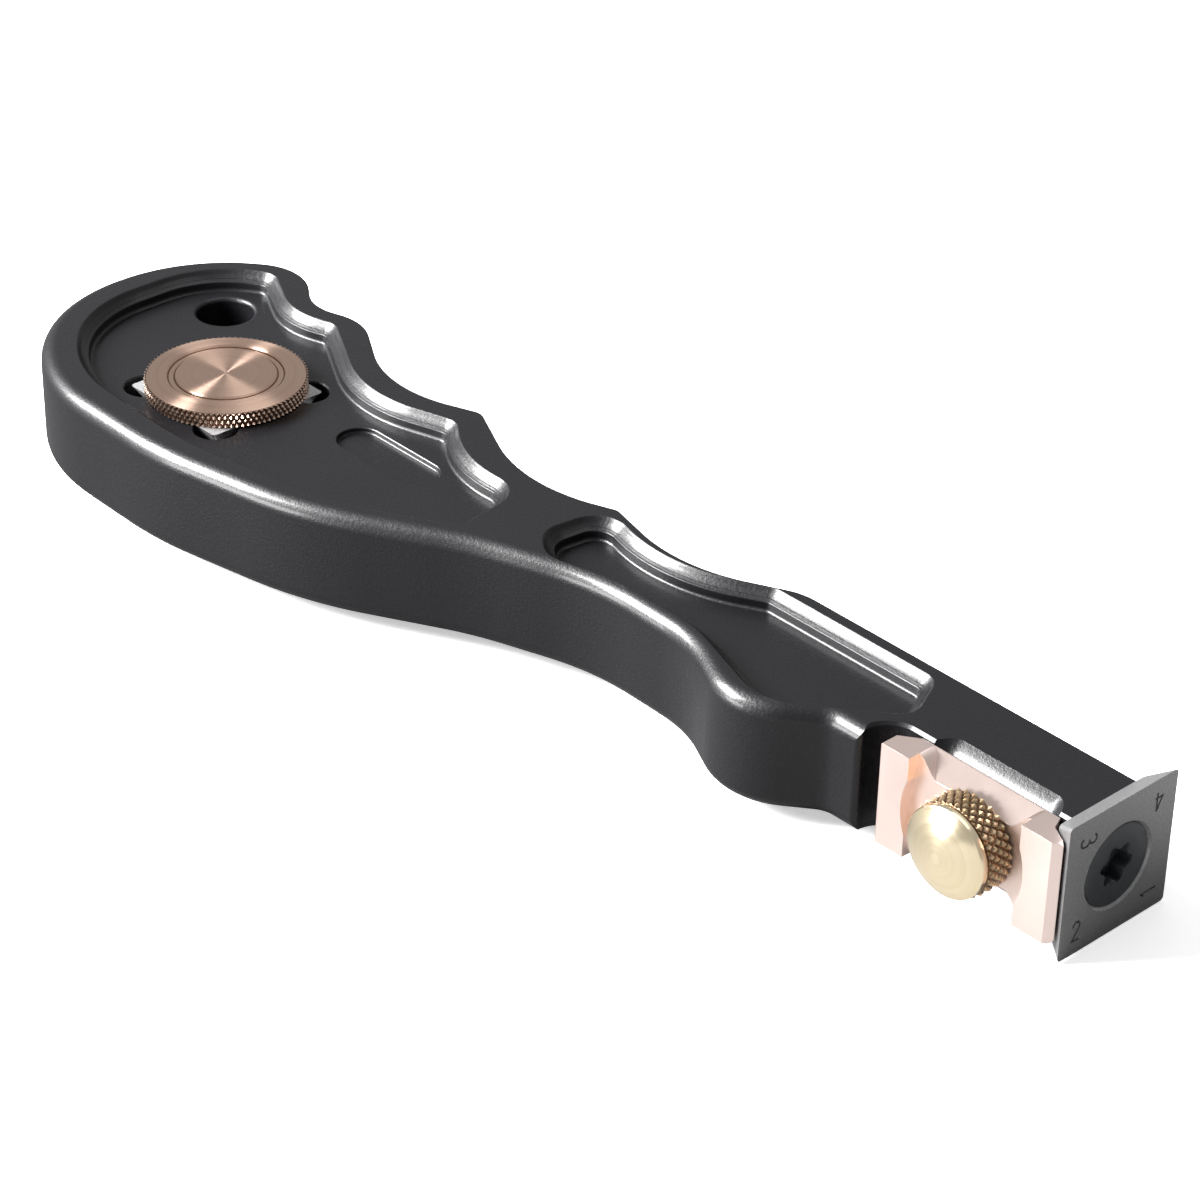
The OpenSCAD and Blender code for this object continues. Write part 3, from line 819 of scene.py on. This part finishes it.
def storage_knob_solid(s):
    """The storage knob: knurled rim between two small bevels, and a ring turned in its top.

    The two corners at the foot of the ring take the knurl's material, whose dark colour there is
    painted shade.
    """
    r, top = KNOB_R, STORE_TOP + 2.0
    knurl = knurled_rows(r, STORE_TOP + 0.1, top - 0.34, s.knob_teeth, s.knob_knurl, 0.62)
    inner = r - s.knob_knurl
    socket_r, socket_z = 2.5, STORE_TOP + 1.4
    under = [(0, socket_z), (socket_r, socket_z), (socket_r, STORE_TOP), (inner - 0.25, STORE_TOP),
             (inner - 0.05, STORE_TOP + 0.08)]
    depth = 0.3
    groove = [(6.66, top), (6.58, top - 0.03), (6.44, top - 0.24), (6.28, top - depth),
              (5.76, top - depth), (5.6, top - 0.24), (5.46, top - 0.05), (5.38, top - 0.02)]
    over = [(inner - 0.02, top - 0.3), (inner - 0.14, top - 0.26), (inner - 0.4, top - 0.22),
            (7.2, top - 0.03), (7, top), *groove,
            (3, top - 0.03), (0.6, top - 0.03), (0.2, top - 0.06), (0, top - 0.08)]
    obj = disc_with_knurl("storage_knob_body", under, knurl, over, (*STORE, 0))
    faces = obj.data.polygons
    centres, slot = np.empty(len(faces) * 3), np.empty(len(faces), np.int32)
    faces.foreach_get("center", centres)
    faces.foreach_get("material_index", slot)
    x, y, z = centres.reshape(-1, 3).T
    far = np.hypot(x - STORE[0] * MM, y - STORE[1] * MM) / MM
    outer_r, inner_r, near = 6.36, 5.68, 0.1
    # painted shade: the ring's two foot corners take the knurl's dark colour
    corners = (abs(far - outer_r) < near) | (abs(far - inner_r) < near)
    slot[corners & (z > (top - depth - 0.03) * MM)] = 1
    faces.foreach_set("material_index", slot)
    return obj


def thumb_head_solid(s):
    """The thumb screw's head: knurled band, plain neck ring and a polished dome.

    The dome is z = z0 + sqrt(R^2 - r^2) with R = (b^2 + h^2) / 2 h for base b and height h,
    and its foot is rounded into the band.
    """
    r, low, dome, shoulder = THUMB_R, HEAD_SEAT, 1.5, 0.3
    edge = low + 3.6
    knurl = knurled_rows(r, low + 0.15, edge - 0.68, s.thumb_teeth, s.thumb_knurl, 0.9)
    inner = r - s.thumb_knurl
    b = inner - 0.12
    rise = dome - shoulder
    big = (b * b + rise * rise) / (2 * rise)
    z0 = edge + dome - big
    radii = b * np.sin(np.linspace(math.pi / 2 * 0.98, 0.02, 28))
    curve = [(x, z0 + math.sqrt(big * big - x * x)) for x in radii]
    socket_r, socket_z = 2, low + 3
    under = [(0, socket_z), (socket_r, socket_z), (socket_r, low), (inner - 0.3, low),
             (inner - 0.05, low + 0.1)]
    end = edge + shoulder
    over = [(inner - 0.1, edge - 0.6), (inner - 0.02, edge - 0.5), (inner + 0.06, edge - 0.44),
            (inner + 0.08, end - 0.3), (inner + 0.04, end - 0.14), (inner - 0.04, end - 0.04),
            *curve, (0, z0 + big)]
    return disc_with_knurl("thumb_head_body", under, knurl, over, (THUMB_X, 0, 0), TO_FRONT)


def thread_solid(name, r, low, high, pitch, centre, turn=UPRIGHT):
    """A threaded stud: r(a, z) = r - depth * tri(z / pitch - a / 2 pi), eased at both ends."""
    a = np.linspace(0, TAU, 48, endpoint=False)
    z = np.linspace(low, high, max(12, int((high - low) / pitch * 10)))[:, None]
    depth, ease = 0.55 * pitch, 0.6
    tri = np.abs((z / pitch - a / TAU) % 1 - 0.5) * 2
    radius = r - depth * np.clip(tri * 1.25 - 0.12, 0, 1)
    end = np.clip(np.minimum(z - low, high - z) / ease, 0, 1)
    radius = np.minimum(radius, r - depth * (1 - end))
    n, last = len(a), (len(z) - 1) * len(a)
    caps = [range(n - 1, -1, -1), range(last, last + n)]
    return new_object(name, round_axis(radius, z, a), grid_faces(len(z), n), caps, centre, turn)


# Settings


class HandleSettings(bpy.types.PropertyGroup):
    outline_step: FloatProperty(
        name="Outline step", description="Longest step along an arc, in mm", default=0.7, min=0.2)
    edge_rings: IntProperty(
        name="Edge rings", description="Rings in each rounded edge", default=9, min=3)
    soft_edge: FloatProperty(
        name="Soft edge", description="Width of the broken edges, in mm", default=0.1, min=0)


class InsertSettings(bpy.types.PropertyGroup):
    digit_height: FloatProperty(
        name="Digit height", description="Height of the edge numbers, in mm", default=2.1)
    digit_stroke: FloatProperty(
        name="Digit stroke", description="Width of a stroke, in mm", default=0.24)
    digit_depth: FloatProperty(
        name="Digit depth", description="Depth of the marks, in mm", default=0.06)
    socket_width: FloatProperty(
        name="Socket width", description="Width across the socket's lobes, in mm", default=4.5)
    socket_turn: FloatProperty(
        name="Socket turn", description="Turn of the socket's lobes, in degrees", default=-8)


class KnobSettings(bpy.types.PropertyGroup):
    knob_teeth: IntProperty(
        name="Storage knob teeth", description="Diamonds round the storage knob", default=90)
    knob_knurl: FloatProperty(
        name="Storage knurl depth", description="Depth of the storage knob's knurl, in mm",
        default=0.28)
    thumb_teeth: IntProperty(
        name="Thumb screw teeth", description="Diamonds round the thumb screw", default=30)
    thumb_knurl: FloatProperty(
        name="Thumb knurl depth", description="Depth of the thumb screw's knurl, in mm",
        default=0.4)


class StageSettings(bpy.types.PropertyGroup):
    key_power: FloatProperty(
        name="Key power", description="Power of the large left light, in W", default=28.0)
    low_power: FloatProperty(
        name="Low power", description="Power of the low left light, in W", default=1.0)
    knob_power: FloatProperty(
        name="Knob power", description="Power of the storage knob's light, in W", default=0.3)
    top_power: FloatProperty(
        name="Top power", description="Power of the overhead light, in W", default=1.2)
    fill: FloatProperty(
        name="Surroundings", description="Brightness of the studio walls", default=0.45)


# Operators, stage and panel


class SCRAPER_OT_handle(bpy.types.Operator):
    """Build the handle with its dished faces, bores and fence recess"""

    bl_idname = "scraper.handle"
    bl_label = "Handle"

    def execute(self, context):
        s = context.scene.scraper_handle
        obj = handle_body(s)
        smooth(obj)
        soften(obj, s.soft_edge)
        weigh(obj)
        give(obj, "handle", ["handle"], [anodised_black()])
        return {"FINISHED"}


class SCRAPER_OT_inserts(bpy.types.Operator):
    """Build the cutting insert with its edge numbers, its screw and the spare inserts"""

    bl_idname = "scraper.inserts"
    bl_label = "Inserts and screw"

    def execute(self, context):
        s = context.scene.scraper_insert
        carbide, dark = ground_carbide("Ground carbide", 0.22), engraving_dark()
        cutting = insert_solid("cutting_insert_body")
        cutting.data.materials.append(carbide)
        place(numbered(cutting, s, dark), TO_FACE)
        smooth(cutting)
        give(cutting, "handle", ["cutting_insert"], [carbide, dark])
        screw = place(screw_solid(s), TO_FACE)
        smooth(screw)
        give(screw, "handle", ["insert_screw"], [black_oxide()])
        # painted light: the spares take the cutting insert's carbide in a lighter tone, so that
        # their tips look lit in the pocket
        spare = ground_carbide("Spare carbide", 0.42)
        for level, which in ((0, "lower"), (1, "upper")):
            obj = insert_solid("spare_" + which)
            place(obj, UPRIGHT, (*STORE, STORE_Z + level * INSERT_T))
            smooth(obj)
            give(obj, "handle", ["spare_insert_" + which], [spare])
        return {"FINISHED"}


class SCRAPER_OT_fence(bpy.types.Operator):
    """Build the sliding fence"""

    bl_idname = "scraper.fence"
    bl_label = "Fence"

    def execute(self, context):
        obj = fence_solid()
        smooth(obj)
        soften(obj, 0.14, 25)
        weigh(obj)
        give(obj, "fence", ["fence"], [blasted_gold()])
        return {"FINISHED"}


class SCRAPER_OT_knobs(bpy.types.Operator):
    """Build the knurled thumb screw and storage knob with their threaded studs"""

    bl_idname = "scraper.knobs"
    bl_label = "Knobs and studs"

    def execute(self, context):
        s = context.scene.scraper_knob
        steel = plain_steel()
        knob = storage_knob_solid(s)
        smooth(knob, 24)
        at, up = (*STORE, 0), (0, 0, 1)
        rose = turned_metal("Turned rose gold", low=(0.70, 0.48, 0.37), high=(0.84, 0.61, 0.49),
                            roughness=0.4, centre=at, axis=up, anisotropic=1.0, marks=0.5)
        # the knurl's first colour is painted shade deep in its grooves
        teeth = knurled_metal_painted_shade("Knurled rose gold", (0.16, 0.08, 0.05), (0.86, 0.63, 0.50),
                              KNOB_R, s.knob_knurl, at, up)
        give(knob, "storage_knob", ["storage_knob"], [rose, teeth])
        head = thumb_head_solid(s)
        smooth(head, 24)
        at, out = (THUMB_X, 0, 0), (0, -1, 0)
        gold = turned_metal("Turned pale gold", low=(0.85, 0.72, 0.48), high=(0.94, 0.82, 0.60),
                            roughness=0.2, centre=at, axis=out, anisotropic=0.4, marks=0.12)
        # the knurl's first colour is painted shade deep in its grooves
        teeth = knurled_metal_painted_shade("Knurled gold", (0.10, 0.055, 0.03), (0.72, 0.53, 0.33),
                              THUMB_R, s.thumb_knurl, at, out)
        give(head, "thumb_head", ["thumb_screw_head"], [gold, teeth])
        stud = thread_solid("storage_stud_thread", M5_R - 0.05, low=-TOP_Z + 1.3,
                            high=STORE_TOP + 1.35, pitch=STORE_PITCH, centre=(*STORE, 0))
        smooth(stud, 40)
        give(stud, "storage_stud", ["storage_knob_stud"], [steel])
        stud = thread_solid("thumb_stud_thread", M4_R - 0.05, low=-3, high=HEAD_SEAT + 2.95,
                            pitch=THUMB_PITCH, centre=(THUMB_X, 0, 0), turn=TO_FRONT)
        smooth(stud, 40)
        give(stud, "thumb_stud", ["thumb_screw_stud"], [steel])
        return {"FINISHED"}


class SCRAPER_OT_stage(bpy.types.Operator):
    """Set the floor, the studio lights and the camera"""

    bl_idname = "scraper.stage"
    bl_label = "Studio"

    def execute(self, context):
        s = context.scene.scraper_stage
        floor()
        key = softbox("Key light", place_at=(-0.44, -0.32, 0.34), aim=(-0.06, 0, 0),
                      wide=0.36, high=0.3, power=s.key_power)
        link_light(key, "EXCLUDE", "fence_body", "storage_knob_body")
        low = softbox("Low light", place_at=(-0.17, -0.24, 0.035), aim=(-0.08, -0.02, 0),
                      wide=0.12, high=0.08, power=s.low_power)
        link_light(low, "EXCLUDE", "floor")
        spot = softbox("Knob light", place_at=(-0.33, -0.17, 0.43), aim=(-0.117, -0.01, 0),
                       wide=0.09, high=0.09, power=s.knob_power)
        link_light(spot, "INCLUDE", "storage_knob_body")
        softbox("Top light", place_at=(-0.05, 0.25, 0.75), aim=(-0.06, 0, 0),
                wide=0.7, high=0.4, power=s.top_power)
        surroundings(s.fill)
        camera()
        context.scene.view_settings.view_transform = "Standard"
        context.scene.view_settings.look = "None"
        return {"FINISHED"}


def floor():
    """A white floor under the tool, wide enough for every view.

    Camera rays see it white and partly lit of its own, so that it meets the white beyond.
    Glossy rays see a painted reflection instead: dark, less so towards the head, with a small
    painted pool of light by the fence, so that the metal that mirrors it isn't washed out.
    """
    half, level, white = 4000, -7.6, 0.86
    p = np.array([(-1, -1, 0), (1, -1, 0), (1, 1, 0), (-1, 1, 0)]) * half + (0, 0, level)
    obj = new_object("floor", p, np.array([(0, 1, 2, 3)]))
    m = Nodes("Floor", (white, white, white), 0.0, 0.9, 0.1)
    path = m.tree.nodes.new("ShaderNodeLightPath")
    m.set("Emission Color", (1, 1, 1, 1))
    glow = m.ramp(path.outputs["Is Camera Ray"], 0, 1, 0, 0.5)
    m.link(glow, m.shader.inputs["Emission Strength"])
    along = m.tree.nodes.new("ShaderNodeSeparateXYZ")
    m.link(m.coord, along.inputs["Vector"])
    # painted light: a brighter patch of floor by the fence, seen only in reflections
    pool = m.ramp(along.outputs["X"], -0.027, -0.016, 0.0, 0.06)
    # painted reflection: the floor darker towards the palm end, as glossy rays see it
    painted_reflection = m.math("ADD", m.ramp(along.outputs["X"], -0.15, 0.0, 0.05, 0.16), pool)
    shown = m.math("MAXIMUM", m.math("SUBTRACT", white, path.outputs["Is Glossy Ray"]), 0.0)
    part = m.math("MULTIPLY", painted_reflection, path.outputs["Is Glossy Ray"])
    m.use(color=m.math("ADD", shown, part))
    obj.data.materials.append(m.material)


def softbox(name, place_at, aim, wide, high, power):
    """A rectangular studio light that faces the point aim. Lengths are in metres."""
    data = bpy.data.lights.new(name, "AREA")
    data.shape = "RECTANGLE"
    data.size, data.size_y, data.energy = wide, high, power
    obj = bpy.data.objects.new(name, data)
    bpy.context.scene.collection.objects.link(obj)
    obj.location = place_at
    obj.rotation_mode = "QUATERNION"
    away = np.array(place_at) - np.array(aim)
    obj.rotation_quaternion = Vector(away).to_track_quat("Z", "Y")
    obj.visible_camera = False
    return obj


def link_light(light, state, *names):
    """Keeps a light off the named objects (EXCLUDE) or on them alone (INCLUDE), as flags would."""
    group = bpy.data.collections.new(light.name + " flags")
    light.light_linking.receiver_collection = group
    for name in names:
        group.objects.link(bpy.data.objects[name])
    for item in group.collection_objects:
        item.light_linking.link_state = state


def surroundings(fill):
    """Even studio walls, and pure white straight behind the tool."""
    world = bpy.context.scene.world or bpy.data.worlds.new("Studio")
    bpy.context.scene.world = world
    world.use_nodes = True
    nodes, links = world.node_tree.nodes, world.node_tree.links
    back = nodes["Background"]
    back.inputs["Color"].default_value = (1, 1, 1, 1)
    path = nodes.new("ShaderNodeLightPath")
    mix = nodes.new("ShaderNodeMapRange")
    mix.inputs["To Min"].default_value = fill
    mix.inputs["To Max"].default_value = 1.0
    links.new(path.outputs["Is Camera Ray"], mix.inputs["Value"])
    links.new(mix.outputs["Result"], back.inputs["Strength"])


def camera():
    """The camera of the photograph: place, rows of its turn and focal length were found by a fit to
    it.
    """
    right = (0.67513793, 0.73746349, 0.01834045)
    down = (0.40095874, -0.34597661, -0.84825248)
    ahead = (-0.61920987, 0.58004119, -0.52927436)
    place_at = (0.166756, -0.219705, 0.195986)
    focal_px, frame_px, sensor_mm = 3628.027, 1200, 36.0
    data = bpy.data.cameras.new("Camera")
    data.sensor_width = sensor_mm
    data.lens = sensor_mm * focal_px / frame_px
    data.clip_start, data.clip_end = 0.01, 20.0
    obj = bpy.data.objects.new("Camera", data)
    bpy.context.scene.collection.objects.link(obj)
    rows = [[right[i], -down[i], -ahead[i], place_at[i]] for i in range(3)] + [[0, 0, 0, 1]]
    obj.matrix_world = Matrix(rows)
    bpy.context.scene.camera = obj


class SCRAPER_PT_panel(bpy.types.Panel):
    """Settings and building steps of the scraper"""

    bl_idname = "SCRAPER_PT_panel"
    bl_label = "Carbide scraper"
    bl_space_type = "VIEW_3D"
    bl_region_type = "UI"
    bl_category = "Scraper"

    def draw(self, context):
        layout = self.layout
        for group, operator in STEPS:
            box = layout.box()
            if group:
                settings = getattr(context.scene, group)
                for name in settings.__annotations__:
                    box.prop(settings, name)
            box.operator(operator)


GROUPS = {
    "scraper_handle": HandleSettings,
    "scraper_insert": InsertSettings,
    "scraper_knob": KnobSettings,
    "scraper_stage": StageSettings,
}
STEPS = [
    ("scraper_handle", "scraper.handle"),
    ("scraper_insert", "scraper.inserts"),
    (None, "scraper.fence"),
    ("scraper_knob", "scraper.knobs"),
    ("scraper_stage", "scraper.stage"),
]
CLASSES = (
    *GROUPS.values(),
    SCRAPER_OT_handle,
    SCRAPER_OT_inserts,
    SCRAPER_OT_fence,
    SCRAPER_OT_knobs,
    SCRAPER_OT_stage,
    SCRAPER_PT_panel,
)


def register():
    for cls in CLASSES:
        bpy.utils.register_class(cls)
    for name, group in GROUPS.items():
        setattr(bpy.types.Scene, name, PointerProperty(type=group))


def unregister():
    for name in GROUPS:
        delattr(bpy.types.Scene, name)
    for cls in reversed(CLASSES):
        bpy.utils.unregister_class(cls)


def main():
    """Registers the add-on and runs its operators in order."""
    register()
    bpy.ops.scraper.handle()
    bpy.ops.scraper.inserts()
    bpy.ops.scraper.fence()
    bpy.ops.scraper.knobs()
    bpy.ops.scraper.stage()


if __name__ == "__main__":
    main()
